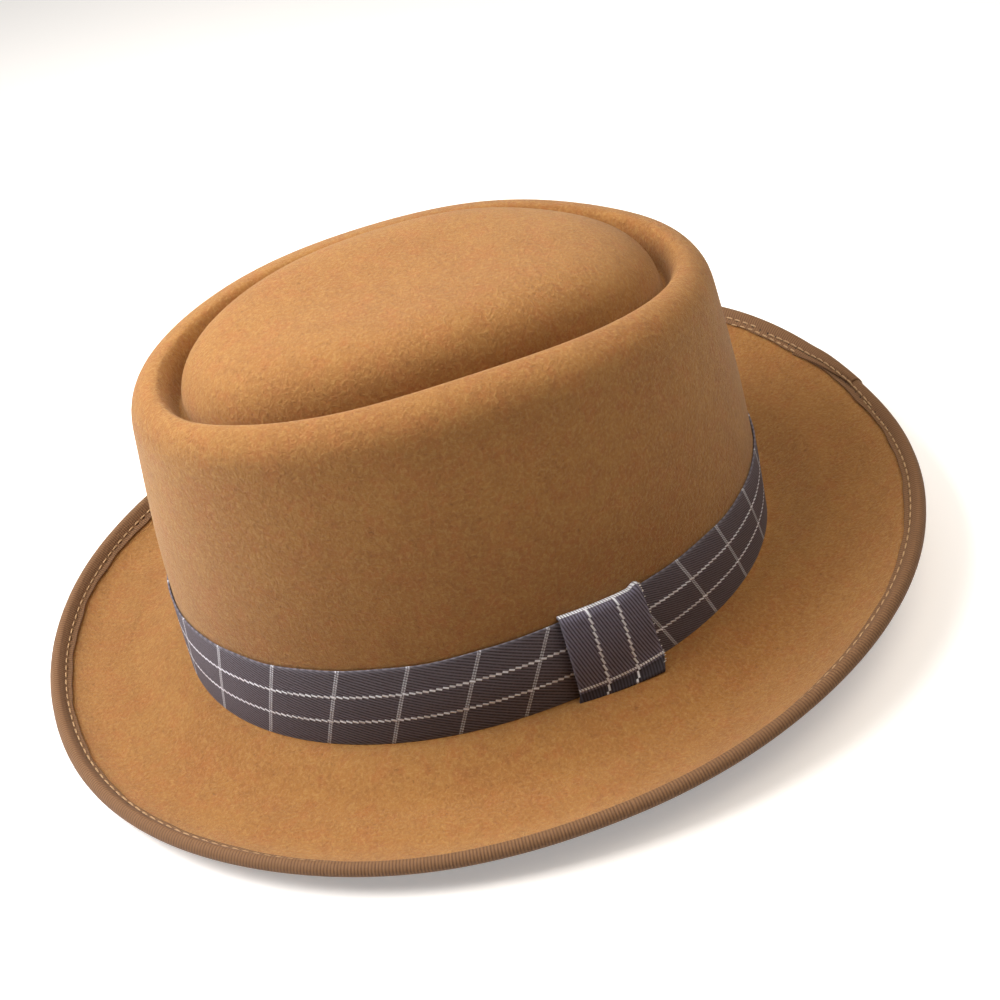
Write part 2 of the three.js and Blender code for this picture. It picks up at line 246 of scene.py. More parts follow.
def normals_of(points, closed=True):
    """The outward direction at each point of a grid, from its neighbours on all sides."""
    down = np.gradient(points, axis=0)
    if closed:
        around = np.roll(points, -1, 1) - np.roll(points, 1, 1)
    else:
        around = np.gradient(points, axis=1)
    normal = np.cross(down, around)
    return normal / np.maximum(np.linalg.norm(normal, axis=-1, keepdims=True), 1e-9)


def lattice(rows, columns, join_rows, join_columns):
    """The quads of a grid of points, and each quad's corners on the same grid unrolled."""
    i = np.arange(rows if join_rows else rows - 1)[:, None]
    j = np.arange(columns if join_columns else columns - 1)[None, :]
    wide = columns + 1 if join_columns else columns
    corners = [(i, j), (i, j + 1), (i + 1, j + 1), (i + 1, j)]
    quads = [(a % rows) * columns + b % columns for a, b in corners]
    unrolled = [a * wide + b for a, b in corners]
    return np.stack(quads, -1).reshape(-1, 4), np.stack(unrolled, -1).reshape(-1, 4)


def make_piece(name, points, faces, material, uv=None):
    """An object from points in mm, faces as a list of corner arrays, and uv as one (u, v)
    in mm for each face corner in the same order. Faces are turned to point outwards."""
    flat = [np.asarray(f) for f in faces]
    volume = 0.0
    for f in flat:
        for k in range(1, f.shape[1] - 1):
            a, b, c = points[f[:, 0]], points[f[:, k]], points[f[:, k + 1]]
            volume += np.einsum("ij,ij->i", a, np.cross(b, c)).sum()
    if volume < 0:
        flat = [f[:, ::-1] for f in flat]
        uv = [u[:, ::-1] for u in uv] if uv is not None else None
    mesh = bpy.data.meshes.new(name)
    mesh.from_pydata((points * MM).tolist(), [], sum((f.tolist() for f in flat), []))
    if uv is not None:
        layer = mesh.uv_layers.new(name="cloth")
        layer.data.foreach_set("uv", np.concatenate([u.reshape(-1, 2) for u in uv]).ravel())
    mesh.polygons.foreach_set("use_smooth", np.ones(len(mesh.polygons), bool))
    mesh.materials.append(material)
    piece = bpy.data.objects.new(name, mesh)
    bpy.context.scene.collection.objects.link(piece)
    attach(piece, "root")
    return piece


# The rounded edges of every strip, in degrees from its outer face
EDGE_TURNS = [36, 72, 108, 144]


def cloth_loop(path, normal, thickness):
    """A strip's section as a closed loop of rows: the outer face, a rounded edge, the inner
    face and the other rounded edge. path is (rows, columns, 3) on the inner face."""
    ends = []
    for last, before, turns in ((-1, -2, EDGE_TURNS), (0, 1, EDGE_TURNS[::-1])):
        out = path[last] - path[before]
        out = out / np.linalg.norm(out, axis=-1, keepdims=True)
        middle = path[last] + normal[last] * thickness / 2
        spokes = [normal[last] * math.cos(a) + out * math.sin(a) for a in np.radians(turns)]
        ends.append(np.stack([middle + spoke * thickness / 2 for spoke in spokes]))
    return np.concatenate([path + normal * thickness, ends[0], path[::-1], ends[1]])


def cloth_uv(across, along):
    """The (u, v) of cloth_loop's rows: across is each row's place over the strip, along
    each column's place down its length."""
    turns = len(EDGE_TURNS)
    v = np.concatenate([across, [across[-1]] * turns, across[::-1], [across[0]] * (turns + 1)])
    u, v = np.meshgrid(along, v)
    return np.stack([u, v], -1).reshape(-1, 2)


def lengths_along(points):
    """The distance run along a row of points, starting at 0."""
    steps = np.linalg.norm(np.diff(points, axis=0), axis=-1)
    return np.concatenate([[0], np.cumsum(steps)])


# The materials. Scales on the felt and the threads are 1 over metres, and on cloth 1 over
# the millimetres of its own (u, v). Colours are mixed and ranges stretched by these settings
COLOUR = {"data_type": "RGBA", "output": 2}
SMOOTH = {"interpolation_type": "SMOOTHSTEP"}

# The check: ribs, the two long lines, the cross lines, their dashes and dots
RIB_PITCH, RIB_SLANT = 1.05, 0.4
LONG_LINES, DASH_PITCH, DASH_TILT = (9.7, 19.9), 2.1, 0.75
CROSS_PITCH, CROSS_HALF, DOT_PITCH, CROSS_SHOW = 22.0, 0.36, 0.95, 0.6
TAPE_RIB = 1.05


def srgb(code):
    """A colour written as sRGB hex, turned to linear with full alpha."""
    values = [int(code[i : i + 2], 16) / 255 for i in (1, 3, 5)]
    return [v / 12.92 if v <= 0.04045 else ((v + 0.055) / 1.055) ** 2.4 for v in values] + [1.0]


def add(tree, kind, inputs=(), output=0, **settings):
    """Adds a node, sets its properties, links or fills its inputs, which are given in order
    or by key, and returns one of its outputs."""
    node = tree.nodes.new("ShaderNode" + kind)
    for key, value in settings.items():
        setattr(node, key, value)
    for key, value in inputs.items() if isinstance(inputs, dict) else enumerate(inputs):
        if isinstance(value, bpy.types.NodeSocket):
            tree.links.new(value, node.inputs[key])
        else:
            node.inputs[key].default_value = value
    return node.outputs[output]


def new_material(name, constants):
    """A material with a Principled shader, whose constant inputs are given, on its output."""
    material = bpy.data.materials.new(name)
    material.use_nodes = True
    tree = material.node_tree
    tree.nodes.clear()
    surface = add(tree, "BsdfPrincipled", constants)
    output = tree.nodes.new("ShaderNodeOutputMaterial")
    tree.links.new(surface, output.inputs["Surface"])
    return material, tree, surface.node


def tinted(tree, colour, rows):
    """Colours laid over a first one. Each row is (value, low, high, most, colour): the share
    of its colour goes smoothly from none where the value is low to most where it is high."""
    for value, low, high, most, code in rows:
        share = add(tree, "MapRange", [value, low, high, 0.0, most], **SMOOTH)
        colour = add(tree, "Mix", {0: share, 6: colour, 7: srgb(code)}, **COLOUR)
    return colour


def dress(tree, shader, colour, height, strength, depth):
    """Joins a colour and a relief to a shader. depth is in metres."""
    relief = add(tree, "Bump", {"Strength": strength, "Distance": depth, "Height": height})
    tree.links.new(colour, shader.inputs["Base Color"])
    tree.links.new(relief, shader.inputs["Normal"])


def wool_felt():
    """Fulled wool felt, brushed: no gloss, a soft sheen of loose fibre, fine mottling where
    fibres of two shades lie matted, and a short nap that shows as specks and streaks."""
    finish = {"Roughness": 0.78, "Specular IOR Level": 0.38, "Sheen Weight": 0.24,
              "Sheen Roughness": 0.6, "Sheen Tint": srgb("#f4ead4")}
    material, tree, shader = new_material("brushed wool felt", finish)
    place = add(tree, "TexCoord", output="Object")
    noises = [(0.03, 3.0, 0.5, 0.0), (0.0065, 2.0, 0.6, 0.0), (0.0045, 5.0, 0.7, 0.0),
              (0.0012, 4.0, 0.7, 0.5)]
    clouds, patches, mottle, fibre = (
        add(tree, "TexNoise", {"Vector": place, "Scale": 1 / size, "Detail": detail,
                               "Roughness": roughness, "Distortion": distortion})
        for size, detail, roughness, distortion in noises
    )
    rows = [
        (clouds, 0.35, 0.65, 1.0, "#966529"),
        (patches, 0.5, 0.62, 0.45, "#955621"),
        (mottle, 0.42, 0.66, 0.45, "#83531d"),
        (fibre, 0.44, 0.7, 0.55, "#ae8548"),
        (fibre, 0.42, 0.26, 0.7, "#6a4015"),
    ]
    height = add(tree, "Math", [mottle, 0.5, fibre], operation="MULTIPLY_ADD")
    dress(tree, shader, tinted(tree, srgb("#905d23"), rows), height, 0.9, 0.0007)
    return material


def check_twill(name, low, high, cross_half, cross_show, painted_shade_from=None):
    """Suiting twill in charcoal with a plum cast: slanted ribs, and a windowpane check
    whose pale yarns show as dashes where they float over the ribs. u runs along the strip
    and v across it, in mm. Past the last argument's run, the cloth is darkened: painted shade."""
    finish = {"Roughness": 0.85, "Specular IOR Level": 0.3, "Sheen Weight": 0.08,
              "Sheen Tint": srgb("#b9b4c4")}
    material, tree, shader = new_material(name, finish)
    uv = add(tree, "UVMap", uv_map="cloth")
    u, v = add(tree, "SeparateXYZ", [uv]).node.outputs[:2]
    slant = add(tree, "Math", [u, RIB_SLANT, v], operation="MULTIPLY_ADD")
    turn = add(tree, "Math", [slant, 2 * math.pi / RIB_PITCH], operation="MULTIPLY")
    ribs = add(tree, "Math", [turn], operation="SINE")
    grain = add(tree, "TexNoise", {"Vector": uv, "Scale": 1 / 0.9, "Detail": 3.0})
    from_middle = add(tree, "Math", [v, BAND_WIDTH / 2], operation="SUBTRACT")
    edge = add(tree, "Math", [from_middle], operation="ABSOLUTE")
    rows = [
        (ribs, -1.0, 1.0, 1.0, high),
        (grain, 0.35, 0.75, 0.35, "#6e6b77"),
        (edge, BAND_WIDTH / 2 - 0.8, BAND_WIDTH / 2 - 0.5, 0.3, "#7c7a86"),
    ]
    # Painted shade: past the given run along u, the cloth is darkened towards #231e20
    if painted_shade_from is not None:
        rows.append((u, painted_shade_from, painted_shade_from - 0.6, 0.8, "#231e20"))
    cloth = tinted(tree, srgb(low), rows)

    # A cross line is at every CROSS_PITCH: a row of dots on each side, cross_half off it
    near = add(tree, "Math", [u, 1 / CROSS_PITCH], operation="MULTIPLY")
    near = add(tree, "Math", [near], operation="ROUND")
    near = add(tree, "Math", [near, CROSS_PITCH], operation="MULTIPLY")
    off = add(tree, "Math", [u, near], operation="SUBTRACT")
    off = add(tree, "Math", [off], operation="ABSOLUTE")
    off = add(tree, "Math", [off, cross_half], operation="SUBTRACT")
    off = add(tree, "Math", [off], operation="ABSOLUTE")
    dot = add(tree, "Math", [u, 0.5, v], operation="MULTIPLY_ADD")
    dot = add(tree, "Math", [dot, 1 / DOT_PITCH], operation="MULTIPLY")
    dot = add(tree, "Math", [dot], operation="FRACT")
    dot = add(tree, "Math", [dot, 0.5], operation="SUBTRACT")
    dot = add(tree, "Math", [dot], operation="ABSOLUTE")
    line = add(tree, "MapRange", [off, 0.34, 0.2], **SMOOTH)
    dots = add(tree, "MapRange", [dot, 0.42, 0.24, 0.1, cross_show], **SMOOTH)
    pale = add(tree, "Math", [line, dots], operation="MULTIPLY")

    # The long lines are dashes, each tilted across its line by DASH_TILT
    dash = add(tree, "Math", [u, 1 / DASH_PITCH], operation="MULTIPLY")
    dash = add(tree, "Math", [dash], operation="FRACT")
    tilt = add(tree, "Math", [dash, -DASH_TILT, DASH_TILT / 2], operation="MULTIPLY_ADD")
    first = add(tree, "MapRange", [dash, 0.0, 0.06], **SMOOTH)
    last = add(tree, "MapRange", [dash, 1.0, 0.94], **SMOOTH)
    ends = add(tree, "Math", [first, last], operation="MULTIPLY")
    ends = add(tree, "MapRange", [ends, 0.0, 1.0, 0.5, 1.0], **SMOOTH)
    for place in LONG_LINES:
        off = add(tree, "Math", [v, place], operation="SUBTRACT")
        off = add(tree, "Math", [off, tilt], operation="SUBTRACT")
        off = add(tree, "Math", [off], operation="ABSOLUTE")
        line = add(tree, "MapRange", [off, 0.43, 0.3], **SMOOTH)
        line = add(tree, "Math", [line, ends], operation="MULTIPLY")
        pale = add(tree, "Math", [pale, line], operation="MAXIMUM")

    cloth = add(tree, "Mix", {0: pale, 6: cloth, 7: srgb("#eff4ff")}, **COLOUR)
    rib = add(tree, "MapRange", [ribs, -1.0, 1.0], **SMOOTH)
    height = add(tree, "Math", [pale, 0.6, rib], operation="MULTIPLY_ADD")
    dress(tree, shader, cloth, height, 0.6, 0.00025)
    return material


def ribbed_tape():
    """Grosgrain edge tape: dull cotton with ribs across its length, and the dark holes that
    the needle left. u runs along it and v over it, in mm."""
    finish = {"Roughness": 0.8, "Sheen Weight": 0.06}
    material, tree, shader = new_material("grosgrain binding tape", finish)
    uv = add(tree, "UVMap", uv_map="cloth")
    u, v = add(tree, "SeparateXYZ", [uv]).node.outputs[:2]
    turn = add(tree, "Math", [u, 2 * math.pi / TAPE_RIB], operation="MULTIPLY")
    ribs = add(tree, "Math", [turn], operation="SINE")
    grain = add(tree, "TexNoise", {"Vector": uv, "Scale": 1 / 1.4, "Detail": 4.0})
    x = add(tree, "Math", [u, STITCH_PITCH / 2], operation="PINGPONG")
    x = add(tree, "Math", [x, STITCH_PITCH / 2], operation="SUBTRACT")
    y = add(tree, "Math", [v, TAPE_LAP * (1 - STITCH_SHARE)], operation="SUBTRACT")
    y = add(tree, "Math", [y, y], operation="MULTIPLY")
    squared = add(tree, "Math", [x, x, y], operation="MULTIPLY_ADD")
    rows = [
        (ribs, -1.0, 0.6, 1.0, "#7d5a39"),
        (grain, 0.35, 0.7, 0.5, "#705032"),
        (squared, 0.25, 0.04, 1.0, "#26160b"),
    ]
    height = add(tree, "MapRange", [ribs, -1.0, 0.6], **SMOOTH)
    dress(tree, shader, tinted(tree, srgb("#5b3d26"), rows), height, 0.4, 0.0003)
    return material


def sewing_thread(name, dark, light):
    """Two-ply thread: slightly shiny, with its twist as fine streaks of two shades."""
    material, tree, shader = new_material(name, {"Roughness": 0.55})
    place = add(tree, "TexCoord", output="Object")
    twist = add(tree, "TexNoise", {"Vector": place, "Scale": 1 / 0.0006, "Detail": 2.0})
    colour = add(tree, "Mix", {0: twist, 6: srgb(dark), 7: srgb(light)}, **COLOUR)
    tree.links.new(colour, shader.inputs["Base Color"])
    return material


# On the keeper each cross line is one row of bright ticks, and past its lower fold the
# cloth is darkened, as painted shade
KEEPER_CROSS_HALF, KEEPER_CROSS_SHOW = 0.12, 1.0
KEEPER_PAINTED_SHADE_FROM = -CROSS_PITCH - 0.7
felt = wool_felt()
twill = check_twill("windowpane check twill", "#393439", "#706a74", CROSS_HALF, CROSS_SHOW)
# The keeper is the same cloth as the band. Its colours are lighter as painted light, for the dim
# light on it, and darker past its lower fold as painted shade
keeper_twill_painted_light_and_shade = check_twill("windowpane check twill, keeper, painted light and shade", "#45424d", "#848096",
                           KEEPER_CROSS_HALF, KEEPER_CROSS_SHOW, KEEPER_PAINTED_SHADE_FROM)
tape = ribbed_tape()
thread = sewing_thread("tan sewing thread", "#92704c", "#bb9d75")
white_yarn = sewing_thread("white weft yarn", "#cfc8c4", "#f3efec")

# The felt cap: its upper face, its rounded cut edge and its lower face
around = np.arange(FELT_COLUMNS) * 2 * math.pi / FELT_COLUMNS
top = felt_profile(around)
normal = normals_of(top)
normal *= np.sign(normal[-1, 0, 2])
under = top - normal * FELT
under[..., 2] = np.maximum(under[..., 2], 0.0)
out = top[-1] - top[-2]
out /= np.linalg.norm(out, axis=-1, keepdims=True)
middle = (top[-1] + under[-1]) / 2
edge = np.stack([
    middle + normal[-1] * math.cos(a) * FELT / 2 + out * math.sin(a) * FELT / 4
    for a in np.radians([45, 90, 135])
])
shell = np.concatenate([top, edge, under[::-1][::2]])
quads, _ = lattice(len(shell), FELT_COLUMNS, False, True)
peak = tip_point(np.array([0.0]), np.array([0.0]))[0]
points = np.concatenate([shell.reshape(-1, 3), [peak, peak - [0, 0, FELT]]])
here = np.arange(FELT_COLUMNS)
beside = (here + 1) % FELT_COLUMNS
last = (len(shell) - 1) * FELT_COLUMNS
outer_peak = np.stack([np.full(FELT_COLUMNS, len(points) - 2), beside, here], -1)
inner_peak = np.stack([np.full(FELT_COLUMNS, len(points) - 1), last + here, last + beside], -1)
felt_cap = make_piece("felt_cap", points, [quads, outer_peak, inner_peak], felt)
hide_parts("felt_body")


def strip_caps(path_rows, columns):
    """The faces that close both cut ends of a cloth_loop strip: quads between its outer and
    inner face, and a rounded sliver at each of its edges."""
    turns = len(EDGE_TURNS)
    outer = np.arange(path_rows)
    inner = 2 * path_rows + turns - 1 - outer
    quads = np.stack([outer[:-1], outer[1:], inner[1:], inner[:-1]], -1)
    one = np.array([[path_rows - 1, *range(path_rows, path_rows + turns), inner[-1]]])
    other = inner[0] + 1
    other = np.array([[inner[0], *range(other, other + turns), 0]])
    start = [rows * columns for rows in (quads, one, other)]
    return start + [rows[:, ::-1] + columns - 1 for rows in start]


THREAD_SIDES = 6


def threads(name, lines, facing, radii, material):
    """Short threads: each is a tube with flat sides round a row of points. lines and facing
    are (threads, points, 3), radii one radius for each point."""
    along = np.gradient(lines, axis=1)
    across = np.cross(along, facing)
    across /= np.linalg.norm(across, axis=-1, keepdims=True)
    up = np.cross(across, along)
    up /= np.linalg.norm(up, axis=-1, keepdims=True)
    angle = np.arange(THREAD_SIDES)[:, None] * 2 * math.pi / THREAD_SIDES
    ring = up[:, :, None] * np.cos(angle) + across[:, :, None] * np.sin(angle)
    points = lines[:, :, None] + ring * np.asarray(radii)[None, :, None, None]
    count, steps = lines.shape[:2]
    quads, _ = lattice(steps, THREAD_SIDES, False, True)
    start = (np.arange(count) * steps * THREAD_SIDES)[:, None]
    quads = (quads[None] + start[:, :, None]).reshape(-1, 4)
    near = np.arange(THREAD_SIDES)[None, :] + start
    far = near[:, ::-1] + (steps - 1) * THREAD_SIDES
    return make_piece(name, points.reshape(-1, 3), [quads, near, far], material)


# The hatband: one strip round the crown's foot. Its run is measured from the keeper's
# middle round by the back
BAND_ROWS, BAND_COLUMNS = 15, 540
WHOLE = 2 * math.pi
angles = math.radians(KEEPER_PLACE) + np.arange(BAND_COLUMNS) * WHOLE / BAND_COLUMNS
heights = BAND_LIFT + np.linspace(0, BAND_WIDTH, BAND_ROWS)
ring_angles = np.append(angles, angles[0] + WHOLE)
band_run = lengths_along(wall_at_height(ring_angles, BAND_LIFT + BAND_WIDTH / 2, 0.0))
band_length = band_run[-1]
share = ((heights - BAND_LIFT) / BAND_WIDTH)[:, None]
swing = wave(angles, [(0.3, 5, 0.9), (0.2, 11, 2.0), (0.12, 23, 0.5)])[None, :]
# The band stands a hair off the felt, and a little more at both its edges
off_felt = 0.12 + 0.12 * (2 * share - 1) ** 8
path = wall_at_height(angles[None, :], heights[:, None] + swing * share, off_felt)
band_normal = normals_of(path)
band_normal *= np.sign(band_normal[BAND_ROWS // 2, 0, 0] * math.cos(angles[0]))
loop = cloth_loop(path, band_normal, BAND_THICKNESS)
quads, unrolled = lattice(len(loop), BAND_COLUMNS, True, True)


# Where the check lies along the cloth: at the keeper's middle, at a point on the run past
# it, and at the far side of the hat, and the lean of its cross lines on the keeper's sides
CHECK_START = 25.0
DRAWN_RUN, DRAWN_CHECK = 80.0, 113.4
FAR_RUN, FAR_CHECK, FAR_DRAW = 298.0, 343.0, 0.9
LEAN_BEFORE, LEAN_PAST, LEAN_FADE = 0.57, -0.47, 0.8


def check_run(run, v):
    """The check's place along the cloth. The weave is drawn out a little behind the keeper,
    and its cross lines lean towards the keeper at their top, less and less round the hat."""
    half = band_length / 2
    past = run > half
    run = np.where(past, run - band_length, run)
    far = FAR_CHECK + (half - FAR_RUN) * FAR_DRAW
    knots = [-half, 0.0, DRAWN_RUN, half]
    drawn = np.interp(run, knots, [CHECK_START - half, CHECK_START, DRAWN_CHECK, far])
    lean = np.where(past, LEAN_PAST, LEAN_BEFORE) * (1 - np.abs(run) / half) ** LEAN_FADE
    return drawn + lean * (v - BAND_WIDTH / 2)


uv = cloth_uv(heights - BAND_LIFT, band_run)
at_end = np.arange(len(uv)) % (BAND_COLUMNS + 1) == BAND_COLUMNS
run = check_run(np.minimum(uv[:, 0], band_length - 1e-6), uv[:, 1])
uv[:, 0] = np.where(at_end, CHECK_START, run)
points = loop.reshape(-1, 3)
hatband = make_piece("woven_hatband", points, [quads], twill, [uv[unrolled]])
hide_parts("hatband")
flat = (BAND_WIDTH * MM, band_length * MM)

# The keeper: a strip of the same cloth folded over the band's top edge and down onto the
# brim. Each row gives its left and its right edge as (run along the band, outwards, height)
KEEPER_EDGES = [
    ((-14.6, -0.2, 29.5), (13.0, -0.2, 28.0)),
    ((-14.8, 0.0, 32.0), (13.1, 0.0, 30.2)),
    ((-14.8, 0.9, 33.0), (13.2, 0.9, 31.2)),
    ((-14.8, 1.9, 32.2), (13.3, 1.9, 30.4)),
    ((-14.7, 2.2, 29), (13.9, 2.3, 27)),
    ((-14.2, 2.3, 20), (14.9, 2.5, 18)),
    ((-13.7, 2.3, 10), (15.9, 2.8, 9)),
    ((-13.4, 2.4, 4), (16.4, 3.8, 3.8)),
    ((-13.9, 2.6, 0.9), (15.2, 5.6, 1.3)),
    ((-14.2, 2.5, -0.2), (14.2, 6.6, 0.1)),
    ((-14.2, 1.5, -0.1), (14.0, 5.4, -0.4)),
]
KEEPER_COLUMNS, KEEPER_STEPS = 31, 6
# Its raised corner: the place across, the half width and the height. Its belly: the most
# that it stands out, and the part of the ring that it is read from
CORNER_PLACE, CORNER_HALF, CORNER_RISE = 0.97, 0.06, 1.3
BELLY, KEEPER_REACH = 0.5, 60


def keeper_path():
    """The keeper's inner face: each edge's points blended in a straight line across, then a
    Catmull-Rom curve down the strip. Its top corner stands up a little by its right edge."""
    across = np.linspace(0, 1, KEEPER_COLUMNS)
    left, right = np.array(KEEPER_EDGES).transpose(1, 0, 2)[:, :, None]
    rows = left + (right - left) * across[None, :, None]
    ends = [2 * rows[0] - rows[1], 2 * rows[-1] - rows[-2]]
    rows = np.concatenate([ends[:1], rows, ends[1:]])
    curve = np.stack([smooth_curve(rows[:, c], KEEPER_STEPS) for c in range(KEEPER_COLUMNS)], 1)
    run, outwards, height = (curve[..., k] for k in range(3))
    corner = np.exp(-(((across - CORNER_PLACE) / CORNER_HALF) ** 2))
    height = height + CORNER_RISE * corner * smoothstep(height, 27, 31)
    belly = BELLY * np.sin(math.pi * across) * smoothstep(height, -0.5, 6)
    outwards = outwards + belly * smoothstep(outwards, 1, 2)
    near = slice(-KEEPER_REACH, None), slice(1, KEEPER_REACH)
    theta = np.concatenate([ring_angles[near[0]] - WHOLE, ring_angles[near[1]]])
    runs = np.concatenate([band_run[near[0]] - band_length, band_run[near[1]]])
    return wall_at_height(np.interp(run, runs, theta), height, outwards)


path = keeper_path()
normal = normals_of(path, False)
normal *= np.sign(normal[len(path) // 2, KEEPER_COLUMNS // 2, 0])
loop = cloth_loop(path, normal, KEEPER_THICKNESS)
quads, unrolled = lattice(len(loop), KEEPER_COLUMNS, True, False)
# One cross line of the check lies on the keeper's top fold, and the next near its foot
FOLD_ROW, LOW_ROW = 13, 41
keeper_run = lengths_along(path[:, KEEPER_COLUMNS // 2])
down = keeper_run - keeper_run[FOLD_ROW]
down = -down * CROSS_PITCH / down[LOW_ROW]
v, u = np.meshgrid(np.linspace(0, KEEPER_WIDTH, KEEPER_COLUMNS), cloth_uv(down, [0.0])[:, 1])
uv = np.stack([u, v], -1).reshape(-1, 2)
caps = strip_caps(len(path), KEEPER_COLUMNS)
corners = [uv[unrolled]] + [uv[c] for c in caps]
points, faces = loop.reshape(-1, 3), [quads] + caps
keeper = make_piece("band_keeper_strip", points, faces, keeper_twill_painted_light_and_shade, corners)
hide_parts("band_keeper")
flat = (KEEPER_WIDTH * MM, keeper_run[-1] * MM)

# White picks that stand out of the keeper's raw right edge
PICK_ROWS = [15, 17, 18, 20, 21, 23, 26, 28, 31, 33, 36, 38, 40, 42, 43, 45, 47]
PICK_RADII = [0.12, 0.16, 0.18, 0.18, 0.1]
PICK_IN, PICK_OUT, PICK_BEND = -0.9, 0.55, 0.35
face = path + normal * KEEPER_THICKNESS * 0.6
side = face[:, -1] - face[:, -2]
side /= np.linalg.norm(side, axis=-1, keepdims=True)
reach = np.linspace(PICK_IN, PICK_OUT, len(PICK_RADII))
facing = np.repeat(normal[PICK_ROWS, -1][:, None], len(reach), 1)
lines = face[PICK_ROWS, -1][:, None] + side[PICK_ROWS][:, None] * reach[:, None]
lines = lines + facing * (0.15 + 0.1 * reach[:, None])
bend = PICK_BEND * wave(np.arange(len(PICK_ROWS)), [(1.0, 2, 0.3)])
lines[..., 2] += bend[:, None] * (reach - PICK_IN) / (PICK_OUT - PICK_IN)
threads("keeper_edge_picks", lines, facing, PICK_RADII, white_yarn)

# The brim's edge tape
TAPE_COLUMNS, TOP_ROWS, UNDER_ROWS, NOSE_TURNS = 1200, 14, 9, [30, 60, 90, 120, 150]
TAPE_GAP, NOSE_LENGTH = 0.05, 4
SKIN_ROWS, SKIN_REACH = 25, 12.0
tape_ring = np.append(np.arange(TAPE_COLUMNS) * WHOLE / TAPE_COLUMNS, WHOLE)
tape_angles = tape_ring[:-1]
edge_run = lengths_along(brim_point(tape_ring[None, :], brim_section(tape_ring)[2][None, :])[0])
edge_length = edge_run[-1]
# Runs along the tape are scaled so that the stitches go round a whole number of times
run_scale = round(edge_length / STITCH_PITCH) * STITCH_PITCH / edge_length
tape_run = edge_run * run_scale


def edge_skin(theta, closed):
    """The brim's upper face near its edge, its outward directions, and each point's
    distance from the edge along the felt."""
    width = brim_section(theta)[2]
    distance = width[None, :] - np.linspace(SKIN_REACH, 0, SKIN_ROWS)[:, None]
    rows = brim_point(np.broadcast_to(theta, distance.shape), distance)
    facing = normals_of(rows, closed)
    facing = facing * np.sign(facing[-1, 0, 2])
    steps = np.linalg.norm(np.diff(rows, axis=0), axis=-1)
    from_edge = np.concatenate([np.cumsum(steps[::-1], 0)[::-1], np.zeros((1, len(theta)))])
    return rows, facing, from_edge


def sample_rows(values, from_edge, wanted):
    """Rows of a grid read at the wanted distances from its last row."""
    count = len(from_edge)
    mean = from_edge.mean(1)
    place = np.interp(wanted, mean[::-1], np.arange(count)[::-1])
    low = np.minimum(np.floor(place).astype(int), count - 2)
    part = (place - low)[..., None]
    columns = np.arange(values.shape[1])[None, :]
    return values[low, columns] * (1 - part) + values[low + 1, columns] * part


def tape_relief(theta, share):
    """How far the tape stands off the felt: pulled down along the stitches, puckered
    between them, and full where it rolls over the edge. share is 1 at its inner edge."""
    run = np.interp(np.mod(theta, WHOLE), tape_ring, tape_run)
    sewn = np.exp(-(((share - STITCH_SHARE) / 0.16) ** 2))
    pucker = 0.07 * np.cos(2 * math.pi * run / STITCH_PITCH) * sewn
    roll, rim = 0.35 * smoothstep(share, 0.75, 0.2), 0.12 * smoothstep(share, 0.75, 1)
    return roll + rim - 0.12 * sewn + pucker


def tape_strip(theta, lap_top, lap_under, gap, closed):
    """The inner face of tape folded over the brim's edge: down the top lap, round the felt's
    cut edge and back under the brim. Laps and gap are lengths in mm at each angle."""
    rows, facing, from_edge = edge_skin(theta, closed)
    share = np.linspace(1, 0, TOP_ROWS)[:, None]
    upper_n = sample_rows(facing, from_edge, share * lap_top)
    off = (gap + tape_relief(theta, share))[..., None]
    upper = sample_rows(rows, from_edge, share * lap_top) + upper_n * off
    share = np.linspace(0, 1, UNDER_ROWS)[:, None]
    lower_n = -sample_rows(facing, from_edge, share * lap_under)
    off = (FELT + gap + tape_relief(theta, share))[..., None]
    lower = sample_rows(rows, from_edge, share * lap_under) + lower_n * off
    out = rows[-1] - rows[-2]
    out = out / np.linalg.norm(out, axis=-1, keepdims=True)
    middle = (upper[-1] + lower[0]) / 2
    high = np.linalg.norm(upper[-1] - lower[0], axis=-1, keepdims=True) / 2
    ups = [upper_n[-1] * math.cos(a) for a in np.radians(NOSE_TURNS)]
    outs = [out * math.sin(a) for a in np.radians(NOSE_TURNS)]
    nose = np.stack([middle + (up + along * 0.6) * high for up, along in zip(ups, outs)])
    nose_n = np.stack([up + along for up, along in zip(ups, outs)])
    path = np.concatenate([upper, nose, lower])
    normal = np.concatenate([upper_n, nose_n, lower_n])
    return path, normal / np.linalg.norm(normal, axis=-1, keepdims=True)


def tape_laps(theta):
    """The tape's uneven laps on top and below: narrower in front, by a wave and a dip."""
    dip = 1.2 * np.exp(-(((np.degrees(np.mod(theta, WHOLE)) + 180) % 360 - 180 + 74) / 13) ** 2)
    wide = 1.6 * np.exp(-((np.degrees(np.mod(theta, WHOLE)) - 106) / 5) ** 2)
    top = TAPE_LAP - dip + wide + wave(theta, [(0.25, 13, 0.2), (0.22, 29, 1.1), (0.14, 61, 2.0)])
    return top, TAPE_LAP - 0.3 + wave(theta, [(0.25, 11, 1.2), (0.2, 31, 0.1)])


lap_top, lap_under = tape_laps(tape_angles)
path, normal = tape_strip(tape_angles, lap_top, lap_under, TAPE_GAP, True)
loop = cloth_loop(path, normal, TAPE_THICKNESS)
loop[..., 2] = np.maximum(loop[..., 2], 0.0)
across = np.concatenate([
    np.linspace(0, TAPE_LAP, TOP_ROWS),
    TAPE_LAP + np.linspace(0, NOSE_LENGTH, len(NOSE_TURNS) + 2)[1:-1],
    TAPE_LAP + NOSE_LENGTH + np.linspace(0, TAPE_LAP, UNDER_ROWS),
])
quads, unrolled = lattice(len(loop), TAPE_COLUMNS, True, True)
uv = cloth_uv(across, tape_run)
points = loop.reshape(-1, 3)
binding = make_piece("brim_tape", points, [quads], tape, [uv[unrolled]])
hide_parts("brim_binding")
tape_width = np.linalg.norm(np.diff(path, axis=0), axis=-1).sum(0).mean()
flat = (tape_width * MM, edge_length * MM)

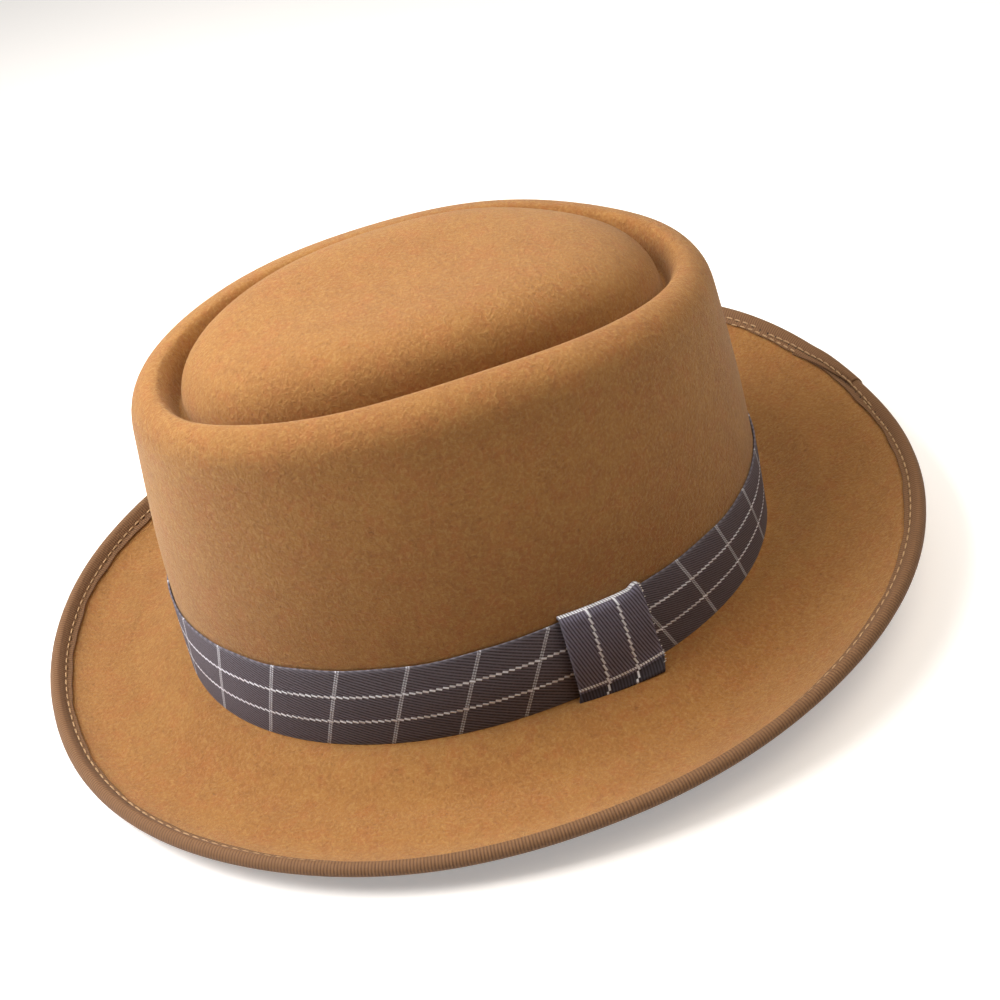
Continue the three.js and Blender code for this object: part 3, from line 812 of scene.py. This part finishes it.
# The tape's last end, lapped over its start at the back: it rises out of the tape, narrows
# towards its cut end and stops there
FOLD_FROM, FOLD_TO, FOLD_RAMP, FOLD_COLUMNS = 91.2, 104.0, 6, 61
FOLD_LAP_FROM, FOLD_LAP_TO = 1.7, 5.7
FOLD_SUNK, FOLD_PROUD, FOLD_EXTRA, SLANT_SHARE = 0.45, 0.4, 0.2, 0.85
fold_angles = np.radians(np.linspace(FOLD_FROM, FOLD_TO, FOLD_COLUMNS))
rise = smoothstep(np.degrees(fold_angles), FOLD_TO, FOLD_TO - FOLD_RAMP)
fold_lap = np.linspace(FOLD_LAP_FROM, FOLD_LAP_TO, FOLD_COLUMNS)
fold_under = np.full(FOLD_COLUMNS, TAPE_LAP - 0.6)
fold_gap = TAPE_GAP - FOLD_SUNK + (TAPE_THICKNESS + FOLD_PROUD) * rise
path, normal = tape_strip(fold_angles, fold_lap, fold_under, fold_gap, False)
loop = cloth_loop(path, normal, TAPE_THICKNESS + FOLD_EXTRA)
quads, unrolled = lattice(len(loop), FOLD_COLUMNS, True, False)
caps = strip_caps(len(path), FOLD_COLUMNS)
fold_run = np.interp(fold_angles, tape_ring, tape_run)
uv = cloth_uv(across, fold_run)
corners = [uv[unrolled]] + [uv[c] for c in caps]
points, faces = loop.reshape(-1, 3), [quads] + caps
fold = make_piece("tape_end", points, faces, tape, corners)
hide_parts("binding_fold")
flat = (tape_width * MM, (fold_run[-1] - fold_run[0]) * MM)


# A stitch's shape: its thickness along it, how far it stands up, and its ends' dip
STITCH_TAPER = [0.5, 0.85, 1, 1, 1, 0.85, 0.5]
STITCH_STAND, STITCH_DIP = 0.12, 1.6


def stitch_row(name, first, last, from_edge_at, phase=0.0):
    """A row of stitches along the tape between two angles. Each stitch is an arc that dips
    into the cloth at both ends. from_edge_at gives the row's distance from the edge at each
    angle."""
    start, stop = (np.interp(math.radians(a), tape_ring, tape_run) for a in (first, last))
    whole = np.arange(math.ceil(start / STITCH_PITCH), math.floor(stop / STITCH_PITCH))
    centres = (whole + 0.5 + phase) * STITCH_PITCH
    step = np.linspace(-0.5, 0.5, len(STITCH_TAPER))
    spots = centres[:, None] + step[None, :] * STITCH_LENGTH
    theta = np.interp(spots.ravel(), tape_run, tape_ring)
    rows, facing, from_edge = edge_skin(theta, False)
    wanted = from_edge_at(theta)[None, :]
    normal = sample_rows(facing, from_edge, wanted)[0]
    point = sample_rows(rows, from_edge, wanted)[0]
    arc = STITCH_STAND - STITCH_DIP * np.tile(step, len(centres)) ** 2
    lines = point + normal * (top_of_tape(theta, wanted[0]) + arc)[:, None]
    lines = lines.reshape(len(centres), len(step), 3)
    radii = np.array(STITCH_TAPER) * THREAD_RADIUS
    return threads(name, lines, normal.reshape(lines.shape), radii, thread)


def top_of_tape(theta, from_edge):
    """How far the tape's outer face stands off the felt, over its lapped end too."""
    degrees = np.degrees(theta)
    rise = smoothstep(degrees, FOLD_TO, FOLD_TO - FOLD_RAMP)
    lapped = np.where(degrees > FOLD_FROM, rise, 0)
    relief = tape_relief(theta, from_edge / tape_laps(theta)[0])
    return TAPE_GAP + relief + TAPE_THICKNESS + np.maximum(lapped - 0.25, 0)


def by_angle(*knots):
    """A length in mm read between knots of (degrees, length)."""
    degrees, lengths = zip(*knots)
    return lambda theta: np.interp(np.degrees(theta), degrees, lengths)


main_row = by_angle((0, 3.5), (69.8, 3.1), (77.2, 3.6), (83.4, 4.2), (88.4, 3.9), (110, 3.5),
                    (360, 3.5))
joint_row = by_angle((83.8, 2.4), (86.4, 2.3), (90.8, 1.9), (97.6, 2.2), (101, 2.7),
                     (105.6, 2.9), (110, 3.4))
inner_row = by_angle((102.6, 5.0), (108.6, 5.0), (113.6, 4.4), (117.8, 5.0))
stitch_row("tape_stitches_left", 0, 88.4, main_row)
stitch_row("tape_stitches_right", 112, 360, main_row)
stitch_row("joint_stitches", 83.8, 111, joint_row, 0.4)
stitch_row("joint_stitches_inner", 102.6, 119, inner_row, 0.1)

# The floor, camera and lights. A little of the floor's white is seen by the camera only
FLOOR_HALF, FLOOR_GLOW = 4000.0, 0.33


def make_floor():
    """A large pale square under the hat, in matt white paper."""
    half = FLOOR_HALF
    points = np.array([[-half, -half, 0], [half, -half, 0], [half, half, 0], [-half, half, 0]]) * MM
    mesh = bpy.data.meshes.new("floor")
    mesh.from_pydata(points.tolist(), [], [[0, 1, 2, 3]])
    finish = {"Base Color": srgb("#f4f4f4"), "Roughness": 0.9, "Emission Color": (1, 1, 1, 1)}
    material, tree, shader = new_material("white studio paper", finish)
    seen = add(tree, "LightPath", output="Is Camera Ray")
    glow = add(tree, "Math", [seen, FLOOR_GLOW], operation="MULTIPLY")
    tree.links.new(glow, shader.inputs["Emission Strength"])
    mesh.materials.append(material)
    floor = bpy.data.objects.new("floor", mesh)
    bpy.context.scene.collection.objects.link(floor)


# The camera as it was fitted to the photo's outlines, with the lens in pixels of the picture
AZIMUTH, ELEVATION, ROLL = (math.radians(a) for a in (77.1001, 37.0720, -12.2502))
DISTANCE, OFFSET_X, OFFSET_Y = 644.7403, -8.1747, -21.0756
FOCAL_PIXELS, PICTURE, SENSOR = 1819.966, 1000, 36.0

flat = math.cos(ELEVATION)
back = np.array([math.sin(AZIMUTH) * flat, -math.cos(AZIMUTH) * flat, math.sin(ELEVATION)])
level = np.cross(-back, [0, 0, 1])
level /= np.linalg.norm(level)
rise = np.cross(level, -back)
right = level * math.cos(ROLL) + rise * math.sin(ROLL)
up = -level * math.sin(ROLL) + rise * math.cos(ROLL)


def placed(x, y, towards):
    """A point from the hat's middle: x and y in the picture's plane, and towards the camera."""
    middle = np.array([0, CENTRE_Y - CROWN_FORWARD, BREAK_HEIGHT])
    return middle + right * x + up * y + back * towards


def put(data, name, point, x_axis, y_axis):
    """Links an object at a point in mm whose X and Y axes are given."""
    thing = bpy.data.objects.new(name, data)
    bpy.context.scene.collection.objects.link(thing)
    x_axis = Vector(x_axis).normalized()
    z_axis = x_axis.cross(Vector(y_axis)).normalized()
    y_axis = z_axis.cross(x_axis)
    turn = Matrix((x_axis, y_axis, z_axis)).transposed().to_4x4()
    thing.matrix_world = Matrix.Translation(Vector(point * MM)) @ turn
    return thing


camera_data = bpy.data.cameras.new("camera")
camera_data.sensor_width = SENSOR
camera_data.lens = FOCAL_PIXELS / PICTURE * SENSOR
camera_data.clip_end = 50
place = placed(-OFFSET_X, -OFFSET_Y, DISTANCE)
bpy.context.scene.camera = put(camera_data, "camera", place, right, up)


CROWN_MIDDLE = np.array([0.0, 0.0, 60.0])


def area_light(name, point, size, power, colour):
    """A square lamp that faces the hat's crown."""
    lamp = bpy.data.lights.new(name, "AREA")
    lamp.size = size * MM
    lamp.energy = power
    lamp.color = srgb(colour)[:3]
    aim = CROWN_MIDDLE - point
    side = np.cross(aim, [0, 0, 1])
    return put(lamp, name, point, side, np.cross(side, aim))


facing = np.array([back[0], back[1], 0.0])
facing /= np.linalg.norm(facing)


def round_hat(from_camera, height, distance):
    """A point round the hat: degrees from the camera's side to the picture's left, degrees
    up, and the distance from the crown's middle."""
    turn, lift = math.radians(from_camera), math.radians(height)
    aside = facing * math.cos(turn) - level * math.sin(turn)
    return CROWN_MIDDLE + distance * (aside * math.cos(lift) + np.array([0, 0, math.sin(lift)]))


# Each lamp's place by round_hat, its size in mm, its power in watts and its colour
LAMPS = [
    ("key softbox", 90, 50, 620, 450, 7.1, "#fffaf5"),
    ("low key", 90, 25, 620, 450, 0.3, "#fffaf5"),
    ("side fill", -90, 60, 620, 450, 2.1, "#fff0de"),
    ("back light", 178, 65, 560, 350, 0.7, "#fffdf8"),
    ("far fill", -60, 55, 1600, 900, 5.4, "#fff4e6"),
]
for name, from_camera, height, distance, size, power, colour in LAMPS:
    area_light(name, round_hat(from_camera, height, distance), size, power, colour)
make_floor()

# A white backdrop that only the camera sees, and that gives no light
world = bpy.data.worlds.new("studio")
world.use_nodes = True
bpy.context.scene.world = world
backdrop = world.node_tree.nodes["Background"]
backdrop.inputs[0].default_value = (1, 1, 1, 1)
camera_rays = add(world.node_tree, "LightPath", output="Is Camera Ray")
world.node_tree.links.new(camera_rays, backdrop.inputs[1])
bpy.context.scene.view_settings.view_transform = "Standard"
